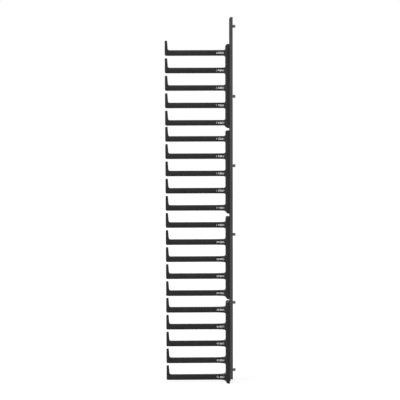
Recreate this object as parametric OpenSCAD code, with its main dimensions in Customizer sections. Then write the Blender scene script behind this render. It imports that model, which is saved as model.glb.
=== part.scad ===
// Vertical finger-type cable manager for a server rack.
//
// A folded steel rail carries moulded combs of hooked fingers, one finger for each rack unit. The
// rail hangs on a row of shouldered studs, whose heads drop into keyhole slots in the rack.
// Axes: +Z is up and the fingers reach forward, along -Y. The origin is on the rail's back face,
// at the centre of the lowest stud.

/* [Rack grid] */
// Height of one rack unit, which is also the spacing of the fingers
rack_unit = 44.45; // [40:0.05:55]
// Number of combs along the rail
comb_count = 4; // [1:1:6]
// Number of fingers on one comb
finger_count = 5; // [3:1:7]
// Rack units of rail beyond those that have a finger
spare_units = 1; // [1:1:4]
// Rack units between two neighbouring mounting studs
stud_step = 4; // [2:1:8]

/* [Rail] */
// Width across the rail's flanges
rail_w = 36; // [30:1:60]
// Depth of the rail, from its back face to the front edges of its flanges
rail_d = 8; // [7:0.5:14]
// Thickness of the rail's sheet steel
sheet_t = 1.5; // [1:0.1:2]
// Inside radius of the rail's two bends
bend_inner_r = 1; // [0.5:0.1:2]
// How far the flanges stop short of the web's ends
flange_setback = 0.8; // [0.2:0.1:3]
// Radius of the flanges' free corners
flange_corner_r = 1.5; // [0.5:0.1:3]

/* [Fingers] */
// Reach of a finger, from the front of the spine to the outer face of its hook
finger_reach = 154.6; // [90:0.2:220]
// Height of a finger
finger_h = 14.2; // [10:0.1:18]
// Width of a finger at its middle height, where the mould parts
finger_w = 9; // [7:0.1:14]
// Draft of a finger's sides, taken off each side at its top and bottom
finger_draft = 0.9; // [0.1:0.05:1.2]
// Chamfer along a finger's long edges
edge_chamfer = 0.7; // [0.2:0.05:1.2]
// Gap between the tip of a hook and the finger above, where a cable goes in
entry_gap = 6; // [3:0.1:12]
// Thickness of a hook at its tip
hook_tip_t = 6.2; // [4:0.1:9]
// Thickness of a hook where it meets the top of its finger
hook_root_t = 8; // [5:0.1:12]
// Width of a hook at its tip
hook_tip_w = 5.6; // [4:0.1:9]
// Chamfer round the tip of a hook
hook_tip_chamfer = 1.6; // [0.5:0.1:2.2]
// Radius inside the corner between a hook and its finger
hook_inner_r = 3.5; // [1:0.1:8]
// Radius outside the corner below a hook
hook_outer_r = 4; // [1:0.1:6]

/* [Finger roots] */
// Length over which a finger widens towards the spine
flare_len = 20; // [10:0.5:30]
// Width of a finger where it meets the spine
flare_w = 25; // [16:0.5:29]
// Radius above and below a finger where it meets the spine
root_r = 4.5; // [1:0.1:6]
// Length of the label recess in each side of a finger
recess_len = 22.5; // [12:0.5:40]
// Distance from the spine to the point at the end of the recess
recess_inset = 2.6; // [1.5:0.1:5]
// Length of the pointed end of the recess
recess_point = 2.6; // [1:0.1:5]
// Thickness of the flanges that the recess leaves along the top and bottom
recess_rim = 2.3; // [1.5:0.1:4]
// Thickness of the web between the two recesses
recess_web_t = 6.4; // [4:0.1:7]

/* [Spine] */
// How far a comb's spine stands out past each flange of the rail
spine_overhang = 1.5; // [0:0.5:4]
// Depth of a comb's spine, in front of the rail
spine_d = 10.3; // [8:0.1:16]
// Wall of the hollow spine
spine_wall = 2.5; // [1.5:0.1:3]
// Length of spine below the centre of its last finger
spine_tail = 13.8; // [12:0.1:17]
// Gap between the spines of neighbouring combs, with both at their middle setting
spine_gap = 7.9; // [4:0.1:12]
// Radius of the spine's two long front edges
spine_edge_r = 4; // [0.5:0.1:5]
// Radius of the front corner at the spine's upper end
spine_top_r = 5; // [2:0.1:7]
// Radius of the front corner at the spine's lower end
spine_tail_r = 7; // [2:0.1:7.5]
// Depth of the chamfer along the spine's rear edges
spine_back_chamfer = 2.4; // [0.5:0.1:3]
// Thickness of the ribs inside the spine
rib_t = 2; // [1:0.1:3]
// How far the ribs at a finger reach into the rail, to centre the comb
rib_tab = 2; // [1:0.1:2.2]
// Wall of a screw boss round its counterbore
boss_front_wall = 1.5; // [1:0.1:2]
// Wall of a screw boss round its slot
boss_rear_wall = 1.75; // [1:0.05:2]

/* [Comb setting] */
// How much less than whole rack units the combs are apart
comb_closeup = 1.25; // [0:0.05:3]
// How far each comb is set below the middle of its slots, from the top comb down
comb_drop = [0.7, -1.4, -0.3, 0.3];
// Vertical travel that the slots allow a comb, end to end
slot_travel = 4; // [3:0.5:8]

/* [Fasteners] */
// Diameter of the screws that hold a comb
screw_d = 4; // [3:0.5:5]
// Length of the screws under the head
screw_len = 14; // [12:1:20]
// Distance of the two columns of screws from the rail's centre line
screw_x = 9.5; // [8.5:0.5:12]
// Diameter of a screw's button head
screw_head_d = 7.6; // [6:0.1:9]
// Height of a screw's button head
screw_head_h = 2.2; // [1.5:0.1:3]
// Width across the flats of a screw's hexagon socket
socket_af = 2.5; // [2:0.5:3]
// Depth of a screw's hexagon socket
socket_depth = 1.3; // [0.8:0.1:1.4]
// How far the tip of a screw stops short of the rail's back face
screw_tip_inset = 0.3; // [0.1:0.1:1]
// Diameter of the clinch nut inside the rail
clinch_d = 7.9; // [7:0.1:9]
// Height of the clinch nut above the web
clinch_h = 2.1; // [1.5:0.1:3]
// Wall of the clinch nut's shank, where it passes through the web
clinch_shank_wall = 0.7; // [0.5:0.1:1]

/* [Mounting studs] */
// Diameter of a stud's head
stud_head_d = 8; // [7.5:0.1:12]
// Length of a stud's head
stud_head_len = 5.2; // [3:0.1:8]
// Chamfer at the end of a stud's head
stud_head_chamfer = 1; // [0.3:0.1:1.5]
// Diameter of a stud's neck
stud_neck_d = 6.4; // [6:0.1:7]
// Length of a stud's neck, which takes the sheet of the rack
stud_neck_len = 2.2; // [1.5:0.1:4]
// Diameter of a stud's threaded shank
stud_shank_d = 5; // [4:0.5:5]
// Length of shank that shows beyond the nut
stud_shank_over = 0.8; // [0.5:0.1:1]
// Chamfer at the end of a stud's shank
stud_shank_chamfer = 0.5; // [0.2:0.1:1]
// Width across the flats of a stud's nut
nut_af = 8; // [7:0.5:8]
// Height of a stud's nut
nut_h = 4; // [2:0.1:4.2]
// Chamfer on the corners of a stud's nut
nut_chamfer = 0.5; // [0.2:0.1:0.9]

/* [Clearances] */
// Radial clearance between a threaded fastener and its thread or hole
thread_play = 0.05; // [0.02:0.01:0.1]
// Clearance on each side of a screw in the slot of a comb
slot_play = 0.25; // [0.1:0.05:0.5]
// Clearance on each side of a screw head in its counterbore
head_play = 0.9; // [0.3:0.1:1.5]
// Clearance between a comb's ribs and the rail's flanges
channel_play = 0.3; // [0.1:0.1:0.6]
// Clearance between a comb's bosses and the clinch nuts
boss_play = 0.2; // [0.1:0.1:0.5]

/* [Hidden] */
$fn = 48;
EPS = 0.01;                    // overlap of two shapes that are joined
PAST = 1;                      // how far a cut runs past the faces it opens
SIDES = [-1, 1];

// Rail and grid
rail_units = comb_count * finger_count + spare_units;
rail_len = rail_units * rack_unit;
rail_bottom = -rack_unit / 2;
rail_top = rail_bottom + rail_len;
bend_outer_r = bend_inner_r + sheet_t;
channel_half_w = rail_w / 2 - sheet_t;
web_front = -sheet_t;
stud_count = floor((rail_units - 1) / stud_step) + 1;

// Combs
spine_back = -rail_d;
spine_front = spine_back - spine_d;
comb_pitch = finger_count * rack_unit - comb_closeup;
comb_len = (finger_count - 1) * rack_unit;
spine_w = rail_w + 2 * spine_overhang;
spine_top = rack_unit - comb_closeup - spine_gap - spine_tail;
spine_bottom = -comb_len - spine_tail;
hook_tip_z = rack_unit - entry_gap - finger_h / 2;
flare_extra = (flare_w - finger_w) / 2;
flare_r = (flare_len * flare_len + flare_extra * flare_extra) / (2 * flare_extra);
rib_offset = (finger_h - rib_t) / 2;
slot_w = screw_d + 2 * slot_play;
counterbore_w = screw_head_d + 2 * head_play;
boss_back = web_front - clinch_h - boss_play;

// Screws: each row is halfway between two fingers, one from either end of the comb
screw_seat = -screw_tip_inset - screw_len;
screw_rows = [-rack_unit / 2, -(finger_count - 1.5) * rack_unit];
screw_head_sphere_r = (pow(screw_head_d / 2, 2) + pow(screw_head_h, 2)) / (2 * screw_head_h);
clinch_shank_d = screw_d + 2 * (thread_play + clinch_shank_wall);

COMBS = [for (k = [1:comb_count]) k];
STUDS = [for (k = [1:stud_count]) k];

// Heights along the rail. Comb 1 is the top one and stud 1 the lowest.
function comb_hole_z(k) = rail_top - 2 * rack_unit - (k - 1) * comb_pitch;
function comb_z(k) = comb_hole_z(k) - comb_drop[k - 1];
function stud_z(k) = (k - 1) * stud_step * rack_unit;

// ---------- helpers ----------

// Extrudes a (Y, Z) outline along X, centred.
module along_x(w) {
    rotate([90, 0, 90]) linear_extrude(w, center = true) children();
}

// Extrudes an (X, Z) outline from y_back forward to y_front.
module along_y(y_back, y_front) {
    translate([0, y_back, 0]) rotate([90, 0, 0]) linear_extrude(y_back - y_front) children();
}

// What is left of a square when a circle in its far corner is taken away: a fillet at the origin.
module fillet_2d(r) {
    difference() {
        translate([-EPS, -EPS]) square(r + EPS);
        translate([r, r]) circle(r);
    }
}

// Turns an outline upside down where s is -1.
module flipped(s) {
    if (s < 0) mirror([0, 1]) children();
    else children();
}

// A slot with round ends, upright, width by travel.
module slot_2d(w, travel) {
    for (s = SIDES) translate([0, s * travel / 2]) circle(d = w);
    square([w, travel], center = true);
}

// Puts its children at the four screws of a comb, at the height z of its first finger.
module at_screws(z) {
    for (row = screw_rows, s = SIDES) translate([s * screw_x, 0, z + row]) children();
}

// ---------- rail ----------

// The rail's channel section, open to the front. Its inside is the outside less the sheet.
module channel_section() {
    difference() {
        channel_outline(rail_w / 2, 0, bend_outer_r);
        channel_outline(channel_half_w, web_front, bend_inner_r);
    }
}

// A block with its two rear corners rounded, which runs past the flanges where it is the inside.
module channel_outline(half_w, back, r) {
    front = back == 0 ? -rail_d : -rail_d - PAST;
    translate([-half_w, front]) square([2 * half_w, back - r - front]);
    translate([r - half_w, back - r - EPS]) square([2 * (half_w - r), r + EPS]);
    for (s = SIDES) translate([s * (half_w - r), back - r]) circle(r);
}

// Side outline of the flanges: short of the web's ends, with round corners.
module flange_side() {
    r = flange_corner_r;
    z0 = rail_bottom + flange_setback;
    z1 = rail_top - flange_setback;
    translate([-rail_d + r, z0]) square([rail_d - r, z1 - z0]);
    translate([-rail_d, z0 + r]) square([rail_d, z1 - z0 - 2 * r]);
    for (z = [z0 + r, z1 - r]) translate([-rail_d + r, z]) circle(r);
    translate([-bend_outer_r, rail_bottom]) square([bend_outer_r, rail_len]);
}

// A round hole through the rail's web.
module web_hole(d) {
    translate([0, PAST, 0]) rotate([90, 0, 0]) cylinder(d = d, h = sheet_t + 2 * PAST);
}

module mounting_rail() {
    color([0.17, 0.17, 0.18])
    difference() {
        intersection() {
            translate([0, 0, rail_bottom]) linear_extrude(rail_len) channel_section();
            along_x(rail_w + PAST) flange_side();
        }
        for (k = STUDS)
            translate([0, 0, stud_z(k)]) web_hole(stud_shank_d + 2 * thread_play);
        for (k = COMBS)
            at_screws(comb_hole_z(k)) web_hole(clinch_shank_d);
    }
}

// ---------- comb ----------

// Cross-section of a finger: widest where the mould parts, with chamfered edges.
module finger_section() {
    side = finger_w / 2 - finger_draft;
    inner = side - edge_chamfer;
    z_edge = finger_h / 2 - edge_chamfer;
    polygon([
        [-inner, -finger_h / 2], [inner, -finger_h / 2], [side, -z_edge], [finger_w / 2, 0],
        [side, z_edge], [inner, finger_h / 2], [-inner, finger_h / 2], [-side, z_edge],
        [-finger_w / 2, 0], [-side, -z_edge]
    ]);
}

// Front outline of a hook: it carries the finger's section on and narrows to its tip.
module hook_front() {
    side = finger_w / 2 - finger_draft;
    inner = side - edge_chamfer;
    tip = hook_tip_w / 2;
    tip_c = hook_tip_chamfer;
    z_edge = finger_h / 2 - edge_chamfer;
    polygon([
        [-inner, -finger_h / 2], [inner, -finger_h / 2], [side, -z_edge], [finger_w / 2, 0],
        [tip, hook_tip_z - tip_c], [tip - tip_c, hook_tip_z], [tip_c - tip, hook_tip_z],
        [-tip, hook_tip_z - tip_c], [-finger_w / 2, 0], [-side, -z_edge]
    ]);
}

// Side outline of a hook, with its outer face at y = 0 and the finger behind it.
module hook_side() {
    tip_c = hook_tip_chamfer;
    foot = hook_root_t + hook_inner_r;
    polygon([
        [0, hook_outer_r - finger_h / 2], [hook_outer_r, -finger_h / 2], [foot, -finger_h / 2],
        [foot, finger_h / 2], [hook_root_t, finger_h / 2], [hook_tip_t, hook_tip_z - tip_c / 2],
        [hook_tip_t - tip_c / 2, hook_tip_z], [tip_c, hook_tip_z], [0, hook_tip_z - tip_c]
    ]);
    translate([hook_outer_r, hook_outer_r - finger_h / 2]) circle(hook_outer_r);
    translate([hook_root_t, finger_h / 2]) fillet_2d(hook_inner_r);
}

// Plan of a finger's root: both sides widen along arcs that start flush with the finger.
module flare_plan() {
    half = finger_w / 2 - finger_draft;
    difference() {
        translate([-flare_w / 2, -flare_len]) square([flare_w, flare_len + spine_wall / 2]);
        for (s = SIDES) translate([s * (half + flare_r), -flare_len]) circle(flare_r, $fn = 96);
    }
}

// Side outline of a finger's root, with a fillet above and below it.
module flare_side() {
    translate([-flare_len, -finger_h / 2]) square([flare_len + spine_wall / 2, finger_h]);
    for (s = SIDES)
        flipped(s) translate([0, finger_h / 2]) mirror([1, 0]) fillet_2d(root_r);
}

// Side outline of the label recess, with its point towards the spine.
module recess_side() {
    half = finger_h / 2 - recess_rim;
    back = -recess_inset;
    polygon([
        [back - recess_len, -half], [back - recess_point, -half], [back, 0],
        [back - recess_point, half], [back - recess_len, half]
    ]);
}

// One finger, with its root at y = 0 and its centre line at z = 0.
module finger() {
    difference() {
        union() {
            along_y(spine_wall / 2, hook_root_t - finger_reach) finger_section();
            intersection() {
                along_x(finger_w + PAST) translate([-finger_reach, 0]) hook_side();
                along_y(0, -finger_reach - PAST) hook_front();
            }
            intersection() {
                linear_extrude(2 * rack_unit, center = true) flare_plan();
                along_x(flare_w + PAST) flare_side();
            }
        }
        for (s = SIDES)
            translate([s * (recess_web_t + flare_w) / 2, 0, 0]) along_x(flare_w) recess_side();
    }
}

// Side outline of the spine, inset by a wall where it is the cavity.
module spine_side(inset) {
    y0 = spine_front + inset;
    y1 = spine_back + (inset > 0 ? PAST : 0);
    z0 = spine_bottom + inset;
    z1 = spine_top - inset;
    r0 = spine_tail_r - inset;
    r1 = spine_top_r - inset;
    translate([y0, z0 + r0]) square([y1 - y0, z1 - z0 - r0 - r1]);
    translate([y0 + r0, z0]) square([y1 - y0 - r0, r0 + EPS]);
    translate([y0 + r1, z1 - r1 - EPS]) square([y1 - y0 - r1, r1 + EPS]);
    translate([y0 + r0, z0 + r0]) circle(r0);
    translate([y0 + r1, z1 - r1]) circle(r1);
}

// Plan of the spine: round front edges, and a rear chamfer down to the width of the rail.
module spine_plan() {
    half = spine_w / 2;
    r = spine_edge_r;
    polygon([
        [r - half, spine_front], [half - r, spine_front], [half, spine_front + r],
        [half, spine_back - spine_back_chamfer], [rail_w / 2, spine_back],
        [-rail_w / 2, spine_back], [-half, spine_back - spine_back_chamfer],
        [-half, spine_front + r]
    ]);
    for (s = SIDES) translate([s * (half - r), spine_front + r]) circle(r);
}

module spine_body() {
    intersection() {
        translate([0, 0, spine_bottom]) linear_extrude(spine_top - spine_bottom) spine_plan();
        along_x(spine_w + PAST) spine_side(0);
    }
}

// Ribs across the cavity: two behind each finger and one through each pair of bosses.
module spine_ribs() {
    for (i = [0:finger_count - 1], s = SIDES)
        rib(-i * rack_unit + s * rib_offset);
    for (row = screw_rows) rib(row);
}

module rib(z) {
    translate([-spine_w / 2, spine_front, z - rib_t / 2]) cube([spine_w, spine_d, rib_t]);
}

// The tabs that carry the ribs at the fingers on into the rail, between its flanges.
module rib_tabs() {
    half = channel_half_w - channel_play;
    for (i = [0:finger_count - 1], s = SIDES)
        translate([-half, spine_back - spine_wall, -i * rack_unit + s * rib_offset - rib_t / 2])
            cube([2 * half, spine_wall + rib_tab, rib_t]);
}

// The screw bosses: wide behind the counterbore, then slim down to the clinch nut.
module bosses() {
    step = screw_seat + boss_front_wall;
    at_screws(0) {
        along_y(step, spine_front + EPS)
            slot_2d(counterbore_w + 2 * boss_front_wall, slot_travel);
        along_y(boss_back, spine_front + EPS)
            slot_2d(slot_w + 2 * boss_rear_wall, slot_travel);
    }
}

module comb(k) {
    color([0.09, 0.09, 0.10])
    translate([0, 0, comb_z(k)])
    difference() {
        union() {
            difference() {
                spine_body();
                difference() {
                    intersection() {
                        along_x(spine_w - 2 * spine_wall) spine_side(spine_wall);
                        translate([-spine_w, spine_front, spine_bottom])
                            cube([2 * spine_w, 2 * spine_d, spine_top - spine_bottom]);
                    }
                    spine_ribs();
                }
            }
            rib_tabs();
            bosses();
            for (i = [0:finger_count - 1])
                translate([0, spine_front, -i * rack_unit]) finger();
        }
        at_screws(0) {
            along_y(PAST, spine_front - PAST) slot_2d(slot_w, slot_travel);
            along_y(screw_seat, spine_front - PAST) slot_2d(counterbore_w, slot_travel);
        }
    }
}

// ---------- fasteners ----------

// A button-head screw along +Y, with its head's underside at y = 0.
module button_screw() {
    difference() {
        rotate([-90, 0, 0]) {
            translate([0, 0, -EPS]) cylinder(d = screw_d, h = screw_len + EPS);
            intersection() {
                translate([0, 0, -screw_head_h]) cylinder(d = screw_head_d, h = screw_head_h);
                translate([0, 0, screw_head_sphere_r - screw_head_h]) sphere(screw_head_sphere_r);
            }
        }
        translate([0, socket_depth - screw_head_h, 0]) rotate([90, 0, 0])
            cylinder(r = socket_af / sqrt(3), h = socket_depth + PAST, $fn = 6);
    }
}

module comb_screws(k) {
    color([0.20, 0.20, 0.21])
    at_screws(comb_hole_z(k)) translate([0, screw_seat, 0]) button_screw();
}

module comb_clinch_nuts(k) {
    color([0.72, 0.73, 0.75])
    at_screws(comb_hole_z(k))
        rotate([90, 0, 0]) difference() {
            union() {
                cylinder(d = clinch_shank_d, h = sheet_t + EPS);
                translate([0, 0, sheet_t]) cylinder(d = clinch_d, h = clinch_h);
            }
            translate([0, 0, -PAST])
                cylinder(d = screw_d + 2 * thread_play, h = sheet_t + clinch_h + 2 * PAST);
        }
}

// Half outline of a stud, from the tip of its threaded shank to the end of its head.
module stud_half_section() {
    head_r = stud_head_d / 2;
    shank_r = stud_shank_d / 2;
    end = stud_neck_len + stud_head_len;
    tip = -sheet_t - nut_h - stud_shank_over;
    polygon([
        [0, tip], [shank_r - stud_shank_chamfer, tip], [shank_r, tip + stud_shank_chamfer],
        [shank_r, 0], [stud_neck_d / 2, 0], [stud_neck_d / 2, stud_neck_len],
        [head_r, stud_neck_len], [head_r, end - stud_head_chamfer],
        [head_r - stud_head_chamfer, end], [0, end]
    ]);
}

module mounting_stud(k) {
    color([0.45, 0.45, 0.47])
    translate([0, 0, stud_z(k)]) rotate([-90, 0, 0]) rotate_extrude() stud_half_section();
}

// A hexagon nut with its corners chamfered at both faces.
module stud_nut(k) {
    corner_r = nut_af / sqrt(3);
    color([0.66, 0.67, 0.69])
    translate([0, web_front, stud_z(k)]) rotate([90, 0, 0])
    difference() {
        intersection() {
            cylinder(r = corner_r, h = nut_h, $fn = 6);
            rotate_extrude() polygon([
                [0, 0], [corner_r - nut_chamfer, 0], [corner_r, nut_chamfer],
                [corner_r, nut_h - nut_chamfer], [corner_r - nut_chamfer, nut_h], [0, nut_h]
            ]);
        }
        translate([0, 0, -PAST])
            cylinder(d = stud_shank_d + 2 * thread_play, h = nut_h + 2 * PAST);
    }
}

// ---------- output ----------

mounting_rail();
for (k = COMBS) {
    comb(k);
    comb_screws(k);
    comb_clinch_nuts(k);
}
for (k = STUDS) {
    mounting_stud(k);
    stud_nut(k);
}
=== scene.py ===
"""Looks of the vertical cable manager: materials, printed marks, floor, light and camera.

Lengths are in metres, in the part's own frame: +Z is up, the fingers point along -Y.
"""

import math
from fnmatch import fnmatch

import bpy
from mathutils import Matrix, Vector


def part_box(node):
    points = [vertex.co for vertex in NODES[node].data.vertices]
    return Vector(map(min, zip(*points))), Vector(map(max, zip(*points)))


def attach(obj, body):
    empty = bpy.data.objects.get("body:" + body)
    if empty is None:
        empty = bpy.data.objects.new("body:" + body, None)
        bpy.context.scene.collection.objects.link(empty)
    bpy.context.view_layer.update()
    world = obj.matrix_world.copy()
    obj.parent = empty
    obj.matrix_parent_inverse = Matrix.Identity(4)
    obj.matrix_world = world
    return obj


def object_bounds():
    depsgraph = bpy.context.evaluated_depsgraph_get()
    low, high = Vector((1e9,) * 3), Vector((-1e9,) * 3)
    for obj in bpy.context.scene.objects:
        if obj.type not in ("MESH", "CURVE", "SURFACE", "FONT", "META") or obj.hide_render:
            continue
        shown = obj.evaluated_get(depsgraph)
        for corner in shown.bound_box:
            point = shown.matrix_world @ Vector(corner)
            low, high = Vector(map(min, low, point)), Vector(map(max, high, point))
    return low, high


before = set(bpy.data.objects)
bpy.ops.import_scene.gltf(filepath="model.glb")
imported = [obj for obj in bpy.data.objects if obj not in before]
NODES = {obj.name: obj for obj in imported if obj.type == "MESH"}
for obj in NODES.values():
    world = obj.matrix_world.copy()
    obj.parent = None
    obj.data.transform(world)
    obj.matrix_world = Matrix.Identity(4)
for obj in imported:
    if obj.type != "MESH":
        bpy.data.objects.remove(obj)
cad_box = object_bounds()

MM = 0.001
COMBS = 4
FINGERS = 5                     # on each comb


# ---------- places, read from the frame ----------

def centre(node):
    low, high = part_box(node)
    return (low + high) / 2


STUD_PITCH = centre("mounting_stud_2").z - centre("mounting_stud_1").z
RACK_UNIT = STUD_PITCH / 4
HOOK_RISE = 31.35 * MM          # from the middle of a finger to the top of its hook
SPINE_FRONT = -18.3 * MM        # where the fingers leave the spine
RECESS_FLOOR = 3.2 * MM         # half the web between the two label recesses
RECESS_BACK = -2.6 * MM         # ends of the recess, from the front of the spine
RECESS_FRONT = -25.1 * MM
RECESS_MARGIN = 0.1 * MM        # what the recess's painted shade takes in beyond its floor


def finger_heights(comb):
    """Heights of the middles of a comb's fingers, from the top one down."""
    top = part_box(f"comb_{comb}")[1].z - HOOK_RISE
    return [top - i * RACK_UNIT for i in range(FINGERS)]


# ---------- objects and nodes ----------

def new_object(name, data):
    thing = bpy.data.objects.new(name, data)
    bpy.context.scene.collection.objects.link(thing)
    return thing


def new_mesh(name, points, faces, material):
    mesh = bpy.data.meshes.new(name)
    mesh.from_pydata(points, [], faces)
    mesh.validate()
    mesh.materials.append(material)
    return mesh


WHITE = (1.0, 1.0, 1.0, 1.0)
BEVEL_SAMPLES = 6
MIX_A, MIX_B, MIX_RESULT = 6, 7, 2          # colour sockets of a Mix node


class Tree:
    """Adds and links the nodes of one material or world."""

    def __init__(self, tree):
        self.tree = tree
        tree.nodes.clear()

    def fill(self, socket, value):
        """Links a socket to another, or gives it a value of its own."""
        if isinstance(value, bpy.types.NodeSocket):
            self.tree.links.new(value, socket)
        else:
            socket.default_value = value

    def add(self, kind, inputs=None, **settings):
        node = self.tree.nodes.new("ShaderNode" + kind)
        for name, value in settings.items():
            setattr(node, name, value)
        for key, value in (inputs or {}).items():
            self.fill(node.inputs[key], value)
        return node

    def math(self, operation, a, b=0.0, clamp=False):
        node = self.add("Math", {0: a, 1: b}, operation=operation, use_clamp=clamp)
        return node.outputs[0]

    def axes(self, vector):
        return self.add("SeparateXYZ", {0: vector}).outputs

    def noise(self, place, scale, detail=2.0, roughness=0.5):
        return self.add("TexNoise", {"Vector": place, "Scale": scale, "Detail": detail,
                                     "Roughness": roughness}).outputs["Fac"]

    def cells(self, place, scale):
        return self.add("TexVoronoi", {"Vector": place, "Scale": scale}).outputs["Distance"]

    def stretched(self, place, scale):
        return self.add("VectorMath", {0: place, 1: scale}, operation="MULTIPLY").outputs[0]

    def span(self, value, low, high, to_low=0.0, to_high=1.0):
        return self.add("MapRange", {"Value": value, "From Min": low, "From Max": high,
                                     "To Min": to_low, "To Max": to_high}).outputs[0]

    def mix(self, share, a, b):
        """From colour a to colour b; each is a socket or a red, green and blue."""
        node = self.add("Mix", {0: share}, data_type="RGBA")
        for socket, colour in ((MIX_A, a), (MIX_B, b)):
            plain = not isinstance(colour, bpy.types.NodeSocket)
            self.fill(node.inputs[socket], (*colour, 1.0) if plain else colour)
        return node.outputs[MIX_RESULT]

    def shown(self):
        """1 for rays that look: from the camera, and by way of metal or glass."""
        path = self.add("LightPath").outputs
        looks = self.math("MAXIMUM", path["Is Glossy Ray"], path["Is Transmission Ray"])
        return self.math("MAXIMUM", path["Is Camera Ray"], looks)

    def place(self):
        """Position in the part's frame."""
        return self.add("TexCoord").outputs["Object"]

    def edges(self, radius, gain=5.0):
        """A rounded normal for the edges, and a mask that is 1 where an edge is sharp."""
        round_normal = self.add("Bevel", {"Radius": radius}, samples=BEVEL_SAMPLES).outputs[0]
        flat_normal = self.add("NewGeometry").outputs["Normal"]
        same = self.add("VectorMath", {0: round_normal, 1: flat_normal},
                        operation="DOT_PRODUCT")
        off = self.math("SUBTRACT", 1.0, same.outputs["Value"])
        return round_normal, self.math("MULTIPLY", off, gain, clamp=True)

    def bump(self, height, depth, normal):
        return self.add("Bump", {"Strength": 1.0, "Distance": depth, "Height": height,
                                 "Normal": normal}).outputs[0]

    def surface(self, colour, roughness, normal, metallic=0.0, specular=0.5):
        shader = self.add("BsdfPrincipled", {"Base Color": colour, "Roughness": roughness,
                                             "Metallic": metallic, "Normal": normal,
                                             "Specular IOR Level": specular})
        self.add("OutputMaterial", {"Surface": shader.outputs[0]})


def new_material(name):
    material = bpy.data.materials.new(name)
    material.use_nodes = True
    return material, Tree(material.node_tree)


# ---------- materials ----------

PLASTIC_DARK, PLASTIC_PALE = (0.0115, 0.0115, 0.0125), (0.0190, 0.0190, 0.0205)
PLASTIC_STREAK = (0.0310, 0.0310, 0.0325)   # where the plastic flowed along the fingers
# painted shade: colour of the label recess floors, darkened to stand in for their shadow
PLASTIC_RECESS_SHADE = (0.0080, 0.0080, 0.0090)
PLASTIC_WORN = (0.0620, 0.0620, 0.0640)
COAT_DARK, COAT_PALE = (0.046, 0.046, 0.048), (0.064, 0.063, 0.066)
COAT_GRIT = (0.095, 0.095, 0.100)
COAT_WORN = (0.120, 0.120, 0.125)
STUD_DARK, STUD_PALE = (0.100, 0.100, 0.106), (0.160, 0.160, 0.168)
STUD_EDGE = (0.400, 0.400, 0.410)
ZINC_BLUE, ZINC_YELLOW = (0.560, 0.575, 0.610), (0.640, 0.620, 0.570)
ZINC_EDGE = (0.760, 0.760, 0.760)
SCREW_DARK, SCREW_PALE = (0.030, 0.030, 0.033), (0.060, 0.060, 0.064)
SCREW_WORN = (0.350, 0.345, 0.335)
PRINT_THIN, PRINT_FULL = (0.520, 0.520, 0.525), (0.720, 0.720, 0.715)
PRINT_EDGE = (0.330, 0.330, 0.335)

TURNING_PITCH = 0.25 * MM       # between two rings that the lathe left
PLASTIC_RELIEF = 0.03 * MM      # depths of the fine relief
COAT_RELIEF = 0.05 * MM
METAL_RELIEF = 0.012 * MM
SPANGLE_RELIEF = 0.015 * MM
PRINT_RELIEF = 0.02 * MM


def moulded_plastic():
    """Black plastic from a spark-eroded mould, rubbed on its edges and where cables lie, with
    painted shade on the floors of the label recesses.
    """
    material, t = new_material("moulded_plastic")
    place = t.place()
    x, y, _ = t.axes(place)
    normal, edge = t.edges(0.7 * MM)

    grain = t.noise(place, 2600.0, detail=3.0, roughness=0.6)
    flow = t.noise(t.stretched(place, (260.0, 14.0, 260.0)), 1.0, detail=4.0, roughness=0.55)
    cloud = t.noise(place, 34.0, detail=4.0, roughness=0.6)
    scuff = t.span(t.noise(t.stretched(place, (900.0, 60.0, 900.0)), 1.0), 0.62, 0.76)

    up = t.axes(t.add("NewGeometry").outputs["Normal"])[2]
    rub = t.math("MULTIPLY", t.span(up, 0.6, 0.95), t.span(cloud, 0.35, 0.65))
    # mask of the label recesses: their colour gets painted shade, their roughness is raised
    side = t.math("LESS_THAN", t.math("ABSOLUTE", x), RECESS_FLOOR + RECESS_MARGIN)
    behind = t.math("LESS_THAN", y, SPINE_FRONT + RECESS_BACK + RECESS_MARGIN)
    before = t.math("GREATER_THAN", y, SPINE_FRONT + RECESS_FRONT + RECESS_MARGIN)
    recess = t.math("MULTIPLY", side, t.math("MULTIPLY", behind, before))

    colour = t.mix(t.span(cloud, 0.3, 0.7), PLASTIC_DARK, PLASTIC_PALE)
    colour = t.mix(t.math("MULTIPLY", flow, 0.35), colour, PLASTIC_STREAK)
    # painted shade darkens the recess floors
    colour = t.mix(t.math("MULTIPLY", recess, 0.75), colour, PLASTIC_RECESS_SHADE)
    worn = t.math("MULTIPLY", edge, t.span(cloud, 0.25, 0.75, 0.2, 0.75))
    colour = t.mix(worn, colour, PLASTIC_WORN)

    roughness = t.span(grain, 0.3, 0.7, 0.44, 0.56)
    roughness = t.math("SUBTRACT", roughness, t.math("MULTIPLY", rub, 0.10))
    roughness = t.math("SUBTRACT", roughness, t.math("MULTIPLY", scuff, 0.10))
    roughness = t.math("ADD", roughness, t.math("MULTIPLY", recess, 0.12))

    height = t.math("SUBTRACT", grain, t.math("MULTIPLY", scuff, 0.3))
    t.surface(colour, roughness, t.bump(height, PLASTIC_RELIEF, normal), specular=0.12)
    return material


def powder_coat():
    """Black powder coat with a fine orange peel, thin over the sheet's edges."""
    material, t = new_material("powder_coat")
    place = t.place()
    normal, edge = t.edges(0.5 * MM)

    peel = t.noise(place, 1150.0)
    grit = t.cells(place, 3200.0)
    cloud = t.noise(place, 16.0, detail=4.0, roughness=0.6)

    colour = t.mix(t.span(cloud, 0.3, 0.7), COAT_DARK, COAT_PALE)
    colour = t.mix(t.span(grit, 0.0, 0.16, 0.35, 0.0), colour, COAT_GRIT)
    worn = t.math("MULTIPLY", edge, t.span(cloud, 0.35, 0.65, 0.15, 0.8))
    colour = t.mix(worn, colour, COAT_WORN)

    roughness = t.span(peel, 0.3, 0.7, 0.36, 0.48)
    height = t.math("ADD", peel, t.math("MULTIPLY", grit, 0.35))
    t.surface(colour, roughness, t.bump(height, COAT_RELIEF, normal), specular=0.20)
    return material


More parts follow.
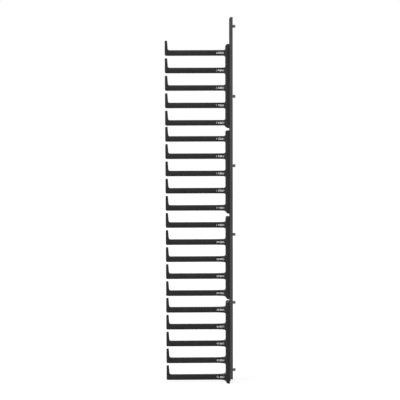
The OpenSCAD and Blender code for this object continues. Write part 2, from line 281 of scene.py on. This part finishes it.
def turned(t, place, pitch):
    """Fine turning marks round the axis of the nearest stud, rings on its faces."""
    x, y, z = t.axes(place)
    local = t.math("FLOORED_MODULO", t.math("ADD", z, pitch / 2), pitch)
    local = t.math("SUBTRACT", local, pitch / 2)
    squares = t.math("ADD", t.math("MULTIPLY", x, x), t.math("MULTIPLY", local, local))
    along = t.math("SUBTRACT", t.math("SQRT", squares), y)
    return t.math("SINE", t.math("MULTIPLY", along, 2 * math.pi / TURNING_PITCH))


def stud_steel():
    """Grey zinc on turned steel."""
    material, t = new_material("stud_steel")
    place = t.place()
    normal, edge = t.edges(0.35 * MM)
    rings = turned(t, place, STUD_PITCH)
    cloud = t.noise(place, 420.0, detail=4.0, roughness=0.6)

    colour = t.mix(t.span(cloud, 0.3, 0.7), STUD_DARK, STUD_PALE)
    colour = t.mix(t.math("MULTIPLY", edge, 0.6), colour, STUD_EDGE)
    roughness = t.span(cloud, 0.3, 0.7, 0.30, 0.44)
    t.surface(colour, roughness, t.bump(rings, METAL_RELIEF, normal), metallic=1.0)
    return material


def zinc_steel():
    """Bright zinc with a faint yellow and blue cast."""
    material, t = new_material("zinc_steel")
    place = t.place()
    normal, edge = t.edges(0.3 * MM)
    spangle = t.cells(place, 900.0)
    cloud = t.noise(place, 260.0, detail=3.0)

    colour = t.mix(t.span(cloud, 0.35, 0.65), ZINC_BLUE, ZINC_YELLOW)
    colour = t.mix(t.math("MULTIPLY", edge, 0.5), colour, ZINC_EDGE)
    roughness = t.span(spangle, 0.0, 0.7, 0.26, 0.40)
    t.surface(colour, roughness, t.bump(spangle, SPANGLE_RELIEF, normal), metallic=1.0)
    return material


def black_screw():
    """Black zinc on steel, rubbed bright on the edges of the head and its socket."""
    material, t = new_material("black_screw")
    place = t.place()
    normal, edge = t.edges(0.3 * MM)
    cloud = t.noise(place, 500.0, detail=4.0, roughness=0.6)

    colour = t.mix(t.span(cloud, 0.3, 0.7), SCREW_DARK, SCREW_PALE)
    worn = t.math("MULTIPLY", edge, t.span(cloud, 0.4, 0.6, 0.1, 0.7))
    colour = t.mix(worn, colour, SCREW_WORN)
    roughness = t.span(cloud, 0.3, 0.7, 0.30, 0.42)
    t.surface(colour, roughness, t.bump(cloud, METAL_RELIEF, normal), metallic=1.0)
    return material


def white_print():
    """Pad-printed white, a little thin in places."""
    material, t = new_material("white_print")
    place = t.place()
    normal, edge = t.edges(0.1 * MM, gain=4.0)
    cover = t.noise(place, 1400.0, detail=4.0, roughness=0.65)

    colour = t.mix(t.span(cover, 0.38, 0.60), PRINT_THIN, PRINT_FULL)
    colour = t.mix(t.math("MULTIPLY", edge, 0.4), colour, PRINT_EDGE)
    roughness = t.span(cover, 0.3, 0.7, 0.62, 0.46)
    t.surface(colour, roughness, t.bump(cover, PRINT_RELIEF, normal))
    return material


def dress(material, *patterns):
    """Puts a material on every slot of the CAD nodes whose names fit."""
    for name in NODES:
        if any(fnmatch(name, pattern) for pattern in patterns):
            for slot in NODES[name].material_slots:
                slot.material = material


dress(powder_coat(), "mounting_rail")
dress(moulded_plastic(), "comb_?")
dress(black_screw(), "comb_?_screws")
dress(stud_steel(), "mounting_stud_?")
dress(zinc_steel(), "comb_?_clinch_nuts", "stud_nut_?")


# ---------- printed marks ----------

MARK_HEIGHT = 4.8 * MM
MARK_START = -23.6 * MM         # left end of a mark, from the front of the spine
DIGIT_PITCH = 3.9 * MM
DIGIT_WEIGHT = 0.030            # added to the strokes of the font, for a size of 1
CURVE_STEPS = 3
PRINT_THICKNESS = 0.08 * MM
TICKS = 6
TICK_WIDTH = 1.4 * MM
TICK_PITCH = 2.0 * MM
TICKS_START = 8.4 * MM          # from the left end of the mark
MARK_LENGTH = TICKS_START + (TICKS - 1) * TICK_PITCH + TICK_WIDTH


def digit_outline(digit):
    """Points and faces of one flat digit, its lower left corner at the origin."""
    text = bpy.data.curves.new("digit", "FONT")
    text.body = digit
    text.size = 1.0
    text.offset = DIGIT_WEIGHT
    text.resolution_u = CURVE_STEPS
    shape = new_object("digit", text)
    bpy.context.view_layer.update()
    depsgraph = bpy.context.evaluated_depsgraph_get()
    mesh = bpy.data.meshes.new_from_object(shape.evaluated_get(depsgraph))
    bpy.data.objects.remove(shape)
    points = [v.co.copy() for v in mesh.vertices]
    faces = [tuple(p.vertices) for p in mesh.polygons]
    bpy.data.meshes.remove(mesh)
    left, bottom = min(p.x for p in points), min(p.y for p in points)
    size = MARK_HEIGHT / (max(p.y for p in points) - bottom)
    return [((p.x - left) * size, (p.y - bottom) * size) for p in points], faces


DIGITS = {digit: digit_outline(digit) for digit in "0123456789"}
TICK = [(0, 0), (TICK_WIDTH, 0), (TICK_WIDTH, MARK_HEIGHT), (0, MARK_HEIGHT)], [(0, 1, 2, 3)]


def mark_outlines(number):
    """Where each outline of a mark starts: two digits, then a row of ticks."""
    digits = [(i * DIGIT_PITCH, DIGITS[digit]) for i, digit in enumerate(f"{number:02d}")]
    return digits + [(TICKS_START + i * TICK_PITCH, TICK) for i in range(TICKS)]


def boundary(polygons):
    """Edges that only one polygon has, in that polygon's direction."""
    edges = {(p[i], p[(i + 1) % len(p)]) for p in polygons for i in range(len(p))}
    return [e for e in sorted(edges) if (e[1], e[0]) not in edges]


def add_mark(points, faces, number, side, height):
    """Adds a mark to a mesh: on one side of a finger, read from that side."""
    for start, (outline, polygons) in mark_outlines(number):
        for layer in (0, 1):
            first = len(points)
            x = side * (RECESS_FLOOR + layer * PRINT_THICKNESS)
            for u, v in outline:
                along = MARK_START + start + u
                if side < 0:
                    along = 2 * MARK_START + MARK_LENGTH - along
                points.append((x, SPINE_FRONT + along, height - MARK_HEIGHT / 2 + v))
        below = first - len(outline)
        faces.extend(tuple(first + i for i in polygon) for polygon in polygons)
        faces.extend((below + a, below + b, first + b, first + a)
                     for a, b in boundary(polygons))


def add_marks(comb, material):
    """All marks of one comb, as one piece; number 1 is the lowest finger of all."""
    points, faces = [], []
    for i, height in enumerate(finger_heights(comb)):
        number = (COMBS - comb + 1) * FINGERS - i
        for side in (-1, 1):
            add_mark(points, faces, number, side, height)
    name = f"unit_marks_{comb}"
    marks = new_object(name, new_mesh(name, points, faces, material))
    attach(marks, "root")


printed = white_print()
for comb in range(1, COMBS + 1):
    add_marks(comb, printed)


# ---------- floor, world and lights ----------

FLOOR_HALF = 12.0
FLOOR_COLOUR = 0.80
FLOOR_SHADE = 0.20                        # what is seen of the light on it
GLOW_NEAR, GLOW_FAR = 0.86, 0.98          # and what is added, so that it looks white,
GLOW_FROM, GLOW_TO = 0.6, 3.5             # at these distances from the part
ROOM_BELOW, ROOM_ABOVE = 0.06, 0.45       # light of the room, from below and from above,
ROOM_FROM, ROOM_TO = -0.35, 0.6           # at these heights of its direction


def floor_look():
    """Matt floor that looks white and keeps the part's shadow."""
    material, t = new_material("floor")
    seen = t.shown()
    shade = t.span(seen, 0.0, 1.0, FLOOR_COLOUR, FLOOR_SHADE)
    colour = t.add("CombineColor", {0: shade, 1: shade, 2: shade}).outputs[0]
    matt = t.add("BsdfDiffuse", {"Color": colour}).outputs[0]
    away = t.add("VectorMath", {0: t.place()}, operation="LENGTH").outputs["Value"]
    added = t.span(away, GLOW_FROM, GLOW_TO, GLOW_NEAR, GLOW_FAR)
    glow = t.add("Emission", {"Color": WHITE, "Strength": t.math("MULTIPLY", seen, added)})
    both = t.add("AddShader", {0: matt, 1: glow.outputs[0]}).outputs[0]
    t.add("OutputMaterial", {"Surface": both})
    return material


def studio():
    """Soft light from all round, more of it from above; what looks at it sees white."""
    world = bpy.data.worlds.new("studio")
    world.use_nodes = True
    t = Tree(world.node_tree)
    up = t.axes(t.place())[2]
    room = t.span(up, ROOM_FROM, ROOM_TO, ROOM_BELOW, ROOM_ABOVE)
    strength = t.math("MAXIMUM", room, t.shown())
    backdrop = t.add("Background", {"Color": WHITE, "Strength": strength})
    t.add("OutputWorld", {"Surface": backdrop.outputs[0]})
    return world


def softbox(name, place, aim, size, power):
    """A square lamp at a place, turned to what it aims at."""
    lamp = bpy.data.lights.new(name, "AREA")
    lamp.shape = "SQUARE"
    lamp.size = size
    lamp.energy = power
    thing = new_object(name, lamp)
    thing.location = place
    toward = Vector(aim) - Vector(place)
    thing.rotation_euler = toward.to_track_quat("-Z", "Y").to_euler()


corners = [(x * FLOOR_HALF, y * FLOOR_HALF, cad_box[0].z)
           for x, y in ((-1, -1), (1, -1), (1, 1), (-1, 1))]
floor = new_object("floor", new_mesh("floor", corners, [(0, 1, 2, 3)], floor_look()))

bpy.context.scene.world = studio()

UPPER, MIDDLE = (0.0, -0.05, 0.70), (0.0, -0.05, 0.45)
softbox("key", (0.8, -1.6, 1.9), UPPER, 0.9, 42.0)
softbox("front", (2.4, -0.9, 1.7), UPPER, 0.8, 14.0)
softbox("top", (0.1, -0.5, 2.6), MIDDLE, 1.4, 18.0)


# ---------- camera ----------

PHOTO_WIDTH = 400               # pixels
FOCAL = 1074.3                  # in the same pixels
SENSOR_WIDTH = 36.0             # millimetres
SIGHT = 100.0                   # how far the camera sees
CAMERA = Vector((2.7627, -0.1134, 0.6677))
YAW, PITCH, ROLL = -0.01060, 0.08036, -0.00331


def camera_axes():
    """Right, up and back of the camera, from its yaw, pitch and roll."""
    ahead = Vector((-math.cos(YAW) * math.cos(PITCH), -math.sin(YAW) * math.cos(PITCH),
                    -math.sin(PITCH)))
    level = Vector((-math.sin(YAW), math.cos(YAW), 0.0))
    upright = level.cross(ahead)
    right = level * math.cos(ROLL) + upright * math.sin(ROLL)
    up = upright * math.cos(ROLL) - level * math.sin(ROLL)
    return Matrix((right, up, -ahead)).transposed().to_4x4()


lens = bpy.data.cameras.new("camera")
lens.sensor_width = SENSOR_WIDTH
lens.lens = FOCAL / PHOTO_WIDTH * SENSOR_WIDTH
lens.clip_end = SIGHT
camera = new_object("camera", lens)
camera.matrix_world = Matrix.Translation(CAMERA) @ camera_axes()
bpy.context.scene.camera = camera
bpy.context.scene.view_settings.view_transform = "Standard"
